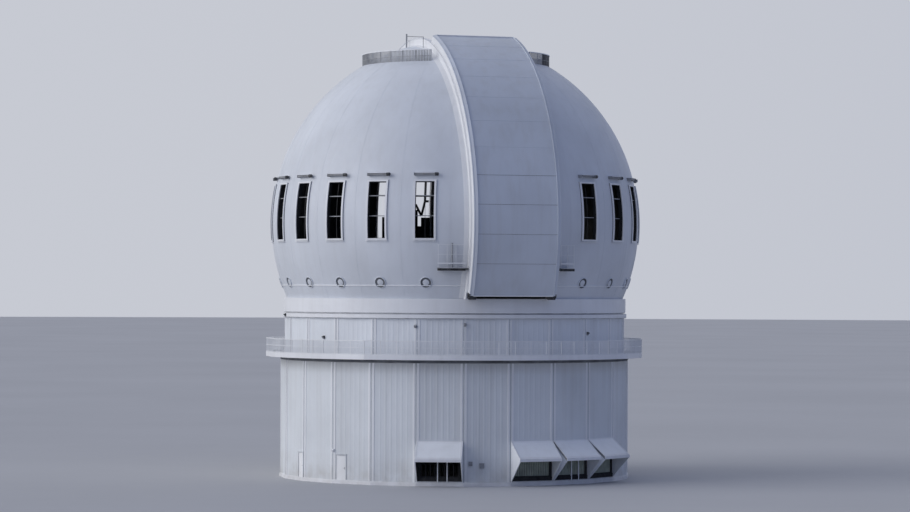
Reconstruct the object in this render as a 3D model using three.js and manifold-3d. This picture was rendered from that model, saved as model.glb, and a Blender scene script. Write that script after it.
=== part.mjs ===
// Observatory dome: a 24-sided clad building, a walkway round it, and a turning dome
// with an up-and-over shutter.
// Millimetres, +Z up, origin at the centre of the base. The shutter faces -Y.
// Angles about the building's axis are in degrees from -Y towards +X.
import * as THREE from "three";
import { mergeVertices } from "three/addons/utils/BufferGeometryUtils.js";
import Module from "manifold-3d";

const wasm = await Module();
wasm.setup();

// Fit between pieces
const JOINT = 0.3; // gap between fixed neighbours
const RUN = 5; // gap between the shutter's flanges and the girders
const FAR = 40000; // longer than the whole building
const ROUND_SIDES = 12; // facets of a drum, a knuckle or a roller

// Lower building
const SIDE_STEP = 15; // degrees a side takes, for 24 sides
const WALL_R = 15170; // corner radius of the outer face
const WALL_T = 350;
const WALL_TOP = 10430;
const CURB_H = 220;
const CURB_R = 15270;
const FLOOR_H = 200;
const FLOOR_EDGE = 100; // the floor's edge stands this far inside the wall

// Walkway round the building
const DECK_IN_R = 14350;
const DECK_R = 16450;
const DECK_T = 270;
const PARAPET_T = 60;
const PARAPET_TOP = 12030;
const RAIL_W = 110;
const RAIL_H = 80;

// Upper wall and the track on it
const UPPER_R = 14820;
const UPPER_TOP = 13830;
const TRACK_IN_R = 14200;
const TRACK_R = 14980;
const TRACK_TOP = 14190;
const RAIL_IN_R = 14560;
const RAIL_OUT_R = 14680;

// Turning dome
const BALL_R = 16000;
const BALL_Z = 21950;
const SHELL_T = 300;
const RING_IN_R = 14420;
const RING_R = 14900;
const RING_Z = 14250;
const RING_TOP = 15500;
const ROUND_STEP = 7.5; // degrees a facet of a round piece takes
const RISE_STEPS = 12; // facets of a dome panel from foot to crown
const CROWN_RISE = 78; // degrees above the centre where the panels stop

// Slit, its two arched girders and the shutter on them
const ARCH_OUT_X = 3800;
const ARCH_IN_X = 3480;
const ARCH_IN_R = 15300;
const ARCH_R = 16200;
const FOOT_RISE = -26; // where the girders start, below the dome's foot
const BACK_FROM = 69; // rise of the front edge of the fixed back strip
const REAR_W = 5200; // opening in the back strip
const REAR_LOW = 20900;
const REAR_TOP = 26400;
const SHUTTER_R = 16950;
const SHUTTER_T = 330;
const SHUTTER_LOW = -21.5;
const SHUTTER_HIGH = 72;
const ROLLER_R = 120;
const ROLLER_W = 240;
const ROLLERS_AT = [3, 14, 26, 38]; // girder facets from the foot
const ARCH_STEP = 2.5; // degrees a facet of the girders and the shutter takes

// Vents in the dome, with the drum of a roll-up door over each, and the round ports below
const VENT_ANGLES = [27, 42, 57, 72, 87, 102];
const VENT_W = 1900; // outside of the frame
const VENT_RISES = [-5.7, 12.2]; // degrees, outside of the frame
const VENT_BAR = 160;
const VENT_BAR_RISE = 0.5; // degrees a frame's head and sill take
const VENT_IN_R = 15650;
const VENT_OUT_R = 16070;
const VENT_STEPS = 4;
const DRUM_W = 2080;
const DRUM_LOW = 25620;
const DRUM_TOP = 25900;
const DRUM_BACK_R = 15450;
const DRUM_FRONT_R = 15930;
const DRUM_SHIFT = 150; // the drive end stands further out
const PORT_Z = 16850;
const PORT_R = 500;
const PORT_BORE_R = 390;
const PORT_BACK = 14900;
const PORT_DISC = 15060;
const PORT_FRONT = 15300;

// Small platforms beside the shutter, and the guard round the crown
const STAGE_LOW = 17820;
const STAGE_TOP = 18050;
const STAGE_BACK_R = 15300;
const STAGE_FRONT_R = 16250;
const STAGES = { left: [-23, -14.8], right: [14.8, 20] };
const GUARD_R = 8200;
const GUARD_T = 80;
const GUARD_LOW = 35560;
const GUARD_TOP = 36720;
const GUARD_ENDS = [33, 147];

// Personnel doors, each in the flat of one side
const DOOR_W = 960;
const DOOR_TOP = 2340;
const DOOR_T = 50;
const DOOR_GAP = 6;
const DOOR_PAST = 4800; // longer than the wall that is left past a doorway
const DOORS = {
  a: { side: -52.5, from: -1620 },
  b: { side: -82.5, from: 870 },
};
const PIN_OUT = 20; // hinge pin's line outside the wall face
const KNUCKLE_R = 14;
const KNUCKLE_H = 60;
const STRAP_L = 70;
const STRAP_OUT = 12;
const STRAP_IN = 4;
const HINGE_HEIGHTS = [500, 2000];

// Air intake hoods on the lower wall
const HOOD_SIDES = [-22.5, 7.5, 22.5, 37.5];
const HOOD_W = 3860;
const HOOD_REACH = 1700;
const HOOD_TOP = 3700;
const HOOD_LIP = 2300;
const HOOD_LIP_H = 200;
const HOOD_FOOT = 330;
const HOOD_SHEET = 70;
const HOOD_POSTS = { "-22.5": [-160, 630], "22.5": [40, 840] }; // by side, from the middle
const HOOD_POST_W = 90;
const INTAKE_W = 3200;
const INTAKE_LOW = 800;
const INTAKE_HIGH = 3200;

const rad = THREE.MathUtils.degToRad;
const flatR = (cornerR) => cornerR * Math.cos(rad(SIDE_STEP / 2));

const PAINT = {
  wall: [0.78, 0.8, 0.83],
  dome: [0.84, 0.86, 0.89],
  trim: [0.88, 0.89, 0.91],
  dark: [0.2, 0.21, 0.23],
  concrete: [0.6, 0.59, 0.57],
};
const part = new THREE.Group();

function toManifold(geometry) {
  geometry.deleteAttribute("normal");
  geometry.deleteAttribute("uv");
  const merged = mergeVertices(geometry, 0.001);
  const vertProperties = new Float32Array(merged.attributes.position.array);
  const triVerts = new Uint32Array(merged.index.array);
  return new wasm.Manifold(new wasm.Mesh({ numProp: 3, vertProperties, triVerts }));
}

function addPiece(name, solid, paint) {
  const mesh = solid.getMesh();
  const geometry = new THREE.BufferGeometry();
  geometry.setAttribute("position", new THREE.BufferAttribute(mesh.vertProperties, 3));
  geometry.setIndex(new THREE.BufferAttribute(mesh.triVerts, 1));
  geometry.computeVertexNormals();
  const [r, g, b] = PAINT[paint];
  const material = new THREE.MeshStandardMaterial({ color: new THREE.Color(r, g, b), name: paint });
  const piece = new THREE.Mesh(geometry, material);
  piece.name = name;
  part.add(piece);
}

// Carries a closed outline through a row of stations; place(point, station) gives a position.
function sweep(outline, stations, place, closed = false) {
  const positions = [];
  const index = [];
  const n = outline.length;
  for (const station of stations) {
    for (const point of outline) positions.push(...place(point, station));
  }
  const spans = closed ? stations.length : stations.length - 1;
  for (let s = 0; s < spans; s++) {
    const near = s * n;
    const far = ((s + 1) % stations.length) * n;
    for (let i = 0; i < n; i++) {
      const j = (i + 1) % n;
      index.push(near + i, far + i, near + j, near + j, far + i, far + j);
    }
  }
  if (!closed) {
    const last = (stations.length - 1) * n;
    const flat = outline.map(([u, v]) => new THREE.Vector2(u, v));
    for (const [a, b, c] of THREE.ShapeUtils.triangulateShape(flat, [])) {
      index.push(a, b, c, last + a, last + c, last + b);
    }
  }
  const geometry = new THREE.BufferGeometry();
  geometry.setAttribute("position", new THREE.Float32BufferAttribute(positions, 3));
  geometry.setIndex(index);
  const solid = toManifold(geometry);
  if (solid.volume() > 0) return solid;
  for (let i = 0; i < index.length; i += 3) [index[i], index[i + 1]] = [index[i + 1], index[i]];
  geometry.setIndex(index);
  return toManifold(geometry);
}

function spread(from, to, step) {
  const count = Math.max(1, Math.round(Math.abs(to - from) / step));
  return Array.from({ length: count + 1 }, (_, i) => from + ((to - from) * i) / count);
}

// Ends of a piece drawn in by half the joint, as an angle at radius r.
function trimmed([from, to], r) {
  const gap = THREE.MathUtils.radToDeg(JOINT / r);
  return [from + gap, to - gap];
}

const onRound = ([r, z], a) => [r * Math.sin(rad(a)), -r * Math.cos(rad(a)), z];
const onArch = ([r, x], rise) => [x, -r * Math.cos(rad(rise)), BALL_Z + r * Math.sin(rad(rise))];

// A band of the 24-sided plan, its ends anywhere on a side.
function sidedBand(outline, from, to) {
  const corners = [];
  for (let a = Math.ceil(from / SIDE_STEP) * SIDE_STEP; a <= to; a += SIDE_STEP) corners.push(a);
  const stations = [...new Set([from, ...corners, to])];
  const place = ([r, z], a) => {
    const middle = (Math.floor(a / SIDE_STEP) + 0.5) * SIDE_STEP;
    return onRound([flatR(r) / Math.cos(rad(a - middle)), z], a);
  };
  return sweep(outline, stations, place);
}

function roundBand(outline, from, to) {
  return sweep(outline, spread(from, to, ROUND_STEP), onRound);
}

function fullRing(outline, step = ROUND_STEP) {
  return sweep(outline, spread(0, 360, step).slice(0, -1), onRound, true);
}

// A polygon of (out, up) points carried along the wall at one angle, from t0 to t1.
function prism(angle, outline, t0, t1) {
  const a = rad(angle);
  const place = ([out, up], t) => [
    out * Math.sin(a) + t * Math.cos(a),
    -out * Math.cos(a) + t * Math.sin(a),
    up,
  ];
  return sweep(outline, [t0, t1], place);
}

const rect = (u0, u1, v0, v1) => [[u0, v0], [u1, v0], [u1, v1], [u0, v1]];
const block = (angle, t, out, up) => prism(angle, rect(...out, ...up), ...t);

function cylinderAlongZ(x, y, r, z0, z1) {
  const geometry = new THREE.CylinderGeometry(r, r, z1 - z0, ROUND_SIDES);
  geometry.rotateX(Math.PI / 2).translate(x, y, (z0 + z1) / 2);
  return toManifold(geometry);
}

const joined = (solids) => solids.reduce((whole, solid) => whole.add(solid));
const cut = (solid, tools) => tools.reduce((left, tool) => left.subtract(tool), solid);

// Foot of the building
const FLOOR_R = WALL_R - WALL_T - FLOOR_EDGE;
const disc = new THREE.CylinderGeometry(FLOOR_R, FLOOR_R, FLOOR_H, 360 / SIDE_STEP);
disc.rotateX(Math.PI / 2).translate(0, 0, FLOOR_H / 2);
addPiece("ground_floor", toManifold(disc), "concrete");
addPiece("base_curb", fullRing(rect(FLOOR_R + JOINT, CURB_R, 0, CURB_H), SIDE_STEP), "trim");

// Lower walls, split beside and over the doors
function intake(side) {
  const out = [flatR(WALL_R) - 2 * WALL_T, flatR(WALL_R) + WALL_T];
  return block(side, [-INTAKE_W / 2, INTAKE_W / 2], out, [INTAKE_LOW, INTAKE_HIGH]);
}

// A doorway with all that lies past it: to the right where way is 1, to the left where it is -1.
function doorwayAndPast({ side, from }, way) {
  const near = way > 0 ? from : from + DOOR_W;
  const reach = [near, near + way * DOOR_PAST].sort((p, q) => p - q);
  return block(side, reach, [WALL_R - 2 * WALL_T, WALL_R + WALL_T], [0, UPPER_TOP]);
}

const pinLine = ({ side, from }) => {
  const a = rad(side);
  const out = flatR(WALL_R) + PIN_OUT;
  const t = from + DOOR_GAP / 2;
  return [out * Math.sin(a) + t * Math.cos(a), -out * Math.cos(a) + t * Math.sin(a)];
};

// Half a hinge: a knuckle on the pin line and its strap on the wall or the leaf.
function halfHinge(door, z, way) {
  const [x, y] = pinLine(door);
  const pin = door.from + DOOR_GAP / 2;
  const strap = [pin, pin + way * STRAP_L].sort((p, q) => p - q);
  const face = flatR(WALL_R);
  return cylinderAlongZ(x, y, KNUCKLE_R, z, z + KNUCKLE_H)
    .add(block(door.side, strap, [face - STRAP_IN, face + STRAP_OUT], [z, z + KNUCKLE_H]));
}

const lowerWall = rect(WALL_R - WALL_T, WALL_R, CURB_H + JOINT, WALL_TOP);
const lowerBand = (from, to) => sidedBand(lowerWall, ...trimmed([from, to], WALL_R));
const { a: doorA, b: doorB } = DOORS;
const wallHinges = (door) => HINGE_HEIGHTS.map((z) => halfHinge(door, z, -1));

const betweenDoors = cut(lowerBand(-90, -45), [doorwayAndPast(doorA, 1), doorwayAndPast(doorB, -1)]);
addPiece("wall_between_doors", joined([betweenDoors, ...wallHinges(doorA)]), "wall");
const wallLeft = cut(lowerBand(-135, -75), [doorwayAndPast(doorB, 1)]);
addPiece("wall_left", joined([wallLeft, ...wallHinges(doorB)]), "wall");
const wallFrontLeft = cut(lowerBand(-60, 0), [doorwayAndPast(doorA, -1), intake(HOOD_SIDES[0])]);
addPiece("wall_front_left", wallFrontLeft, "wall");
const rightIntakes = HOOD_SIDES.filter((side) => side > 0).map(intake);
addPiece("wall_front_right", cut(lowerBand(0, 60), rightIntakes), "wall");
addPiece("wall_right", lowerBand(60, 135), "wall");
addPiece("wall_rear_right", lowerBand(135, 180), "wall");
addPiece("wall_rear_left", lowerBand(180, 225), "wall");

for (const [key, door] of Object.entries(DOORS)) {
  const t = [door.from + JOINT, door.from + DOOR_W - JOINT];
  const out = [flatR(WALL_R) - WALL_T, flatR(WALL_R)];
  addPiece(`wall_over_door_${key}`, block(door.side, t, out, [DOOR_TOP, WALL_TOP]), "wall");
}

// Door leaves, each hung on the lower half of two hinges in the wall
for (const [key, door] of Object.entries(DOORS)) {
  const face = flatR(WALL_R);
  const t = [door.from + DOOR_GAP, door.from + DOOR_W - DOOR_GAP];
  const leaf = block(door.side, t, [face - DOOR_T, face], [CURB_H + DOOR_GAP, DOOR_TOP - DOOR_GAP]);
  const hinges = HINGE_HEIGHTS.map((z) => halfHinge(door, z + KNUCKLE_H + JOINT, 1));
  addPiece(`door_${key}`, joined([leaf, ...hinges]), "trim");
}

// Intake hoods: a sloped roof with a lip, two cheeks, a sill, and under two of them upright posts
function hood(side) {
  const wall = flatR(WALL_R) + JOINT;
  const lip = wall + HOOD_REACH;
  const lipLow = HOOD_LIP - HOOD_LIP_H;
  const half = HOOD_W / 2;
  const roof = [[wall, HOOD_TOP - HOOD_SHEET], [lip - HOOD_SHEET, HOOD_LIP - HOOD_SHEET],
    [lip - HOOD_SHEET, lipLow], [lip, lipLow], [lip, HOOD_LIP], [wall, HOOD_TOP]];
  const cheek = [[wall, HOOD_FOOT], [lip, lipLow], [lip, HOOD_LIP], [wall, HOOD_TOP]];
  const sill = rect(wall, wall + HOOD_SHEET, HOOD_FOOT + HOOD_POST_W, INTAKE_LOW - HOOD_POST_W);
  const post = rect(wall, wall + HOOD_POST_W, HOOD_FOOT, HOOD_TOP - HOOD_POST_W);
  return joined([
    prism(side, roof, -half, half),
    prism(side, cheek, -half, -half + HOOD_SHEET),
    prism(side, cheek, half - HOOD_SHEET, half),
    prism(side, sill, -half, half),
    ...(HOOD_POSTS[side] ?? []).map((t) => prism(side, post, t - HOOD_POST_W / 2, t + HOOD_POST_W / 2)),
  ]);
}
HOOD_SIDES.forEach((side, i) => addPiece(`intake_hood_${i + 1}`, hood(side), "trim"));

// Walkway and upper walls in quarters, and the round track on them in one
const QUARTERS = { front: [-45, 45], right: [45, 135], rear: [135, 225], left: [225, 315] };
const deckLow = WALL_TOP + JOINT;
const deckTop = deckLow + DECK_T;
const walkway = [
  [DECK_IN_R, deckLow], [DECK_R, deckLow], [DECK_R, PARAPET_TOP], [DECK_R - RAIL_W, PARAPET_TOP],
  [DECK_R - RAIL_W, PARAPET_TOP - RAIL_H], [DECK_R - PARAPET_T, PARAPET_TOP - RAIL_H],
  [DECK_R - PARAPET_T, deckTop], [DECK_IN_R, deckTop],
];
const upperWall = rect(UPPER_R - WALL_T, UPPER_R, deckTop + JOINT, UPPER_TOP);
for (const [name, ends] of Object.entries(QUARTERS)) {
  addPiece(`walkway_${name}`, sidedBand(walkway, ...trimmed(ends, DECK_R)), "trim");
  addPiece(`upper_wall_${name}`, sidedBand(upperWall, ...trimmed(ends, UPPER_R)), "wall");
}
const track = [
  [TRACK_IN_R, UPPER_TOP + JOINT], [TRACK_R, UPPER_TOP + JOINT], [TRACK_R, TRACK_TOP],
  [RAIL_OUT_R, TRACK_TOP], [RAIL_OUT_R, RING_Z - JOINT], [RAIL_IN_R, RING_Z - JOINT],
  [RAIL_IN_R, TRACK_TOP], [TRACK_IN_R, TRACK_TOP],
];
addPiece("track_ring", fullRing(track), "trim");

// Foot ring of the turning dome
const ring = rect(RING_IN_R, RING_R, RING_Z, RING_TOP);
addPiece("dome_ring_left", roundBand(ring, ...trimmed([180, 360], RING_R)), "dome");
addPiece("dome_ring_right", roundBand(ring, ...trimmed([0, 180], RING_R)), "dome");

// Dome panels between the arches, with their vent frames and ports
const footZ = RING_TOP + JOINT;
const footRise = (r) => THREE.MathUtils.radToDeg(Math.asin((footZ - BALL_Z) / r));
function arc(r, from, to, steps) {
  return spread(0, steps, 1).map((i) => {
    const rise = rad(from + ((to - from) * i) / steps);
    return [r * Math.cos(rise), BALL_Z + r * Math.sin(rise)];
  });
}
const inR = BALL_R - SHELL_T;
const shell = [
  ...arc(BALL_R, footRise(BALL_R), CROWN_RISE, RISE_STEPS),
  ...arc(inR, footRise(inR), CROWN_RISE, RISE_STEPS).reverse(),
];

function curvedBlock(angle, half, [low, high], [r0, r1]) {
  const outline = [...arc(r1, low, high, VENT_STEPS), ...arc(r0, low, high, VENT_STEPS).reverse()];
  return prism(angle, outline, -half, half);
}

function ventSurround(angle) {
  const frame = curvedBlock(angle, VENT_W / 2, VENT_RISES, [VENT_IN_R, VENT_OUT_R]);
  const across = [DRUM_SHIFT - DRUM_W / 2, DRUM_SHIFT + DRUM_W / 2];
  return frame.add(block(angle, across, [DRUM_BACK_R, DRUM_FRONT_R], [DRUM_LOW, DRUM_TOP]));
}

function ventOpening(angle) {
  const [low, high] = VENT_RISES;
  const rises = [low + VENT_BAR_RISE, high - VENT_BAR_RISE];
  const depth = [VENT_IN_R - SHELL_T, VENT_OUT_R + SHELL_T];
  return curvedBlock(angle, VENT_W / 2 - VENT_BAR, rises, depth);
}

function portDrum(angle, r, from, to) {
  const geometry = new THREE.CylinderGeometry(r, r, to - from, ROUND_SIDES);
  geometry.translate(0, (from + to) / 2, 0).rotateX(Math.PI);
  geometry.translate(0, 0, PORT_Z).rotateZ(rad(angle));
  return toManifold(geometry);
}

function domePanel(side, from, to) {
  const sign = side === "left" ? -1 : 1;
  const ends = sign < 0 ? [-to, -from] : [from, to];
  const own = VENT_ANGLES.filter((angle) => angle > from && angle < to).map((angle) => sign * angle);
  const slitHalf = [-sign * FAR, sign * (ARCH_OUT_X + JOINT)].sort((p, q) => p - q);
  const slit = block(0, slitHalf, [-FAR, FAR], [0, FAR]);
  const stage = roundBand(rect(STAGE_BACK_R - JOINT, BALL_R, STAGE_LOW - JOINT, STAGE_TOP + JOINT),
    ...grown(STAGES[side]));
  const guard = roundBand(rect(GUARD_R - GUARD_T - JOINT, GUARD_R + JOINT, GUARD_LOW - JOINT, GUARD_TOP),
    ...grown(guardEnds(side)));
  const drums = own.map((angle) => portDrum(angle, PORT_R, PORT_BACK, PORT_FRONT));
  const bores = own.map((angle) => portDrum(angle, PORT_BORE_R, PORT_DISC, PORT_FRONT + PORT_BORE_R));
  const band = roundBand(shell, ...trimmed(ends, BALL_R));
  const whole = joined([band, ...drums, ...own.map(ventSurround)]);
  return cut(whole, [...own.map(ventOpening), ...bores, slit, stage, guard]);
}

function grown([from, to]) {
  return trimmed([to, from], GUARD_R).reverse();
}
const guardEnds = (side) => side === "right" ? GUARD_ENDS : GUARD_ENDS.map((a) => -a).reverse();

const PANELS = {
  front: [8, 49.5],
  front_side: [49.5, 79.5],
  side: [79.5, 109.5],
  rear_side: [109.5, 139.5],
  rear: [139.5, 172],
};
for (const side of ["left", "right"]) {
  for (const [name, [from, to]] of Object.entries(PANELS)) {
    addPiece(`dome_panel_${side}_${name}`, domePanel(side, from, to), "dome");
  }
  const stage = rect(STAGE_BACK_R, STAGE_FRONT_R, STAGE_LOW, STAGE_TOP);
  addPiece(`platform_${side}`, roundBand(stage, ...STAGES[side]), "dark");
  const guard = rect(GUARD_R - GUARD_T, GUARD_R, GUARD_LOW, GUARD_TOP);
  addPiece(`crown_guard_${side}`, roundBand(guard, ...guardEnds(side)), "dome");
}

// Arched girders beside the slit, and the fixed strip behind it with its opening
const girderRises = spread(FOOT_RISE, 180 - FOOT_RISE, ARCH_STEP);
const under = block(0, [-FAR, FAR], [-FAR, FAR], [0, footZ]);
const archBand = (outline, rises) => sweep(outline, rises, onArch).subtract(under);
const girder = (x0, x1) => archBand(rect(ARCH_IN_R, ARCH_R, x0, x1), girderRises);
addPiece("arch_girder_left", girder(-ARCH_OUT_X, -ARCH_IN_X), "dome");
addPiece("arch_girder_right", girder(ARCH_IN_X, ARCH_OUT_X), "dome");
const stripHalf = ARCH_IN_X - JOINT;
const stripR = (x) => Math.sqrt(BALL_R ** 2 - x * x);
const stripAcross = spread(-stripHalf, stripHalf, stripHalf / 2);
const backStrip = [
  ...stripAcross.map((x) => [stripR(x), x]),
  ...stripAcross.map((x) => [stripR(x) - SHELL_T, x]).reverse(),
];
const stripRises = spread(BACK_FROM, 180 - FOOT_RISE, ROUND_STEP);
const rearOpening = block(180, [-REAR_W / 2, REAR_W / 2], [RING_IN_R, FAR], [REAR_LOW, REAR_TOP]);
addPiece("dome_back_strip", cut(archBand(backStrip, stripRises), [rearOpening]), "dome");

// Shutter: a curved leaf whose two side flanges run on the girders, on short rollers
function roller(rise, way) {
  const middle = onArch([ARCH_R + JOINT + ROLLER_R, (way * (ARCH_OUT_X + ARCH_IN_X)) / 2], rise);
  const geometry = new THREE.CylinderGeometry(ROLLER_R, ROLLER_R, ROLLER_W, ROUND_SIDES);
  geometry.rotateZ(Math.PI / 2).rotateX(rad(90 - rise)).translate(...middle);
  return toManifold(geometry);
}
const leafIn = SHUTTER_R - SHUTTER_T;
const flangeR = (ARCH_R + RUN) / Math.cos(rad(ARCH_STEP / 2)); // its flats clear the girders' corners
const shutter = [
  [SHUTTER_R, -ARCH_OUT_X], [SHUTTER_R, ARCH_OUT_X], [flangeR, ARCH_OUT_X],
  [flangeR, ARCH_IN_X], [leafIn, ARCH_IN_X], [leafIn, -ARCH_IN_X],
  [flangeR, -ARCH_IN_X], [flangeR, -ARCH_OUT_X],
];
const shutterRises = spread(SHUTTER_LOW, SHUTTER_HIGH, ARCH_STEP);
const rollers = ROLLERS_AT.flatMap((i) => [-1, 1].map((way) => roller(girderRises[i], way)));
addPiece("shutter", joined([sweep(shutter, shutterRises, onArch), ...rollers]), "dome");

export default part;
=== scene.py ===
"""Looks of the observatory dome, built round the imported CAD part.

Metres, +Z up. Angles about the building's axis are in degrees from -Y towards +X.
Rises are degrees above the dome's centre, seen from the side of the slit.
"""
import math

import bmesh
import bpy
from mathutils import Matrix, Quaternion, Vector


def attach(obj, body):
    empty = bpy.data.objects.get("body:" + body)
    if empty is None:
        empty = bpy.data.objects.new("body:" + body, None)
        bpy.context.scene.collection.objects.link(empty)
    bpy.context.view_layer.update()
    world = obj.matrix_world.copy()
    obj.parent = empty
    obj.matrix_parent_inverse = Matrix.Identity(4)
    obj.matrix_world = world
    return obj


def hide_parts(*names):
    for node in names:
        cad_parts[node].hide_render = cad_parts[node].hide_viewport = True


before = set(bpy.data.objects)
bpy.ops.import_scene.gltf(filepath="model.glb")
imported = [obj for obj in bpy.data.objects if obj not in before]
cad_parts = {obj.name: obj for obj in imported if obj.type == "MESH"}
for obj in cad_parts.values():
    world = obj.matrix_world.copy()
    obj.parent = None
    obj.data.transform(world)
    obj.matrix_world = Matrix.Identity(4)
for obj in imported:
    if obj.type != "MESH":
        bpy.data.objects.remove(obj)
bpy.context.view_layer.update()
scene = bpy.context.scene

# Sizes of the part, the same as in its source
SIDE_STEP = 15
WALL_R = 15.17
CURB_TOP, WALL_TOP = 0.22, 10.43
DECK_TOP, DECK_IN_R, DECK_R, RAIL_HEAD = 10.70, 14.35, 16.45, 12.03
UPPER_R, UPPER_TOP = 14.82, 13.83
TRACK_IN_R, TRACK_R, TRACK_TOP = 14.20, 14.98, 14.19
RAIL_IN_R, RAIL_OUT_R, RAIL_TOP = 14.56, 14.68, 14.2497
BALL_R, BALL_Z, SHELL_T = 16.0, 21.95, 0.30
RING_IN_R, RING_R, RING_Z, RING_TOP = 14.42, 14.90, 14.25, 15.50
SLIT_X, ARCH_IN_X, ARCH_OUT_X = 3.8003, 3.48, 3.80
ARCH_IN_R, ARCH_R = 15.30, 16.20
BACK_FROM = 69
SHUTTER_R, SHUTTER_T, SHUTTER_RISES = 16.95, 0.33, (-21.5, 72)
VENT_ANGLES = (27, 42, 57, 72, 87, 102)
VENT_HALF, VENT_BAR, VENT_RISES = 0.95, 0.16, (-5.7, 12.2)
PORT_Z, PORT_R = 16.85, 0.50
REAR_HALF, REAR_LOW, REAR_TOP = 2.60, 20.90, 26.40
PANELS = {
    "front": (8, 49.5),
    "front_side": (49.5, 79.5),
    "side": (79.5, 109.5),
    "rear_side": (109.5, 139.5),
    "rear": (139.5, 172),
}
DOORS = {"a": (-52.5, -1.62), "b": (-82.5, 0.87)}
DOOR_W, DOOR_TOP = 0.96, 2.34
HOOD_SIDES = (-22.5, 7.5, 22.5, 37.5)
HOOD_HALF, HOOD_REACH, HOOD_TOP, HOOD_LIP = 1.93, 1.70, 3.70, 2.30
INTAKE_HALF, INTAKE_LOW, INTAKE_HIGH = 1.60, 0.80, 3.20
STAGES = {"left": (-23, -14.8), "right": (14.8, 20)}
STAGE_IN_R, STAGE_R, STAGE_LOW, STAGE_TOP = 15.30, 16.25, 17.82, 18.05
GUARD_R, GUARD_LOW, GUARD_TOP, GUARD_ENDS = 8.20, 35.56, 36.72, (33, 147)
GAP = 0.0003
SINK = 0.02  # how far a fitting reaches into the face behind it
TUBE_SIDES = 10
HALVES = ((-1, "left"), (1, "right"))


def sin(a):
    return math.sin(math.radians(a))


def cos(a):
    return math.cos(math.radians(a))


def arcsin(share):
    return math.degrees(math.asin(share))


def arccos(share):
    return math.degrees(math.acos(share))


def flat_r(corner_r):
    return corner_r * cos(SIDE_STEP / 2)


def cut(marks, counts):
    """The marks, with each stretch between two of them cut into its count of even parts."""
    places = [marks[0]]
    for a, b, count in zip(marks, marks[1:], counts):
        places += [a + (b - a) * i / count for i in range(1, count + 1)]
    return places


def spread(a, b, step):
    """Even places from a to b, about a step apart."""
    return cut((a, b), [max(1, round(abs(b - a) / step))])


def about(middle, half):
    return (middle - half, middle + half)


def each_way(near, far):
    """The stretch from near to far on both sides of the middle."""
    return ((-far, -near), (near, far))


def rect(u0, u1, v0, v1):
    return [(u0, v0), (u1, v0), (u1, v1), (u0, v1)]


def side_at(angle):
    """The side of the building that an angle falls on, as the angle of its middle."""
    return (math.floor(angle / SIDE_STEP) + 0.5) * SIDE_STEP


# Places: each turns a point of an outline and a station into a position

def on_round(p, a):
    return (p[0] * sin(a), -p[0] * cos(a), p[1])


def on_arch(p, rise):
    return (p[1], -p[0] * cos(rise), BALL_Z + p[0] * sin(rise))


def facing(angle, t, out, up):
    """The point at t along a side that faces the angle, out from the axis and up."""
    return (out * sin(angle) + t * cos(angle), -out * cos(angle) + t * sin(angle), up)


def on_side(angle):
    """Points (out, up) carried along a side of the building by t."""
    return lambda p, t: facing(angle, t, *p)


def on_plan(angle):
    """Points (t, out) of a side's plan carried up by z."""
    return lambda p, z: facing(angle, *p, z)


def on_gore(angle):
    """Points (t, r) of a strip carried up the ball by its rise."""
    return lambda p, rise: facing(angle, p[0], p[1] * cos(rise), BALL_Z + p[1] * sin(rise))


def on_sides(p, a):
    """Points (corner radius, up) carried round the 24-sided plan by an angle."""
    return on_round((flat_r(p[0]) / cos(a - side_at(a)), p[1]), a)


def add_object(name, data):
    thing = bpy.data.objects.new(name, data)
    scene.collection.objects.link(thing)
    return thing


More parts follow.
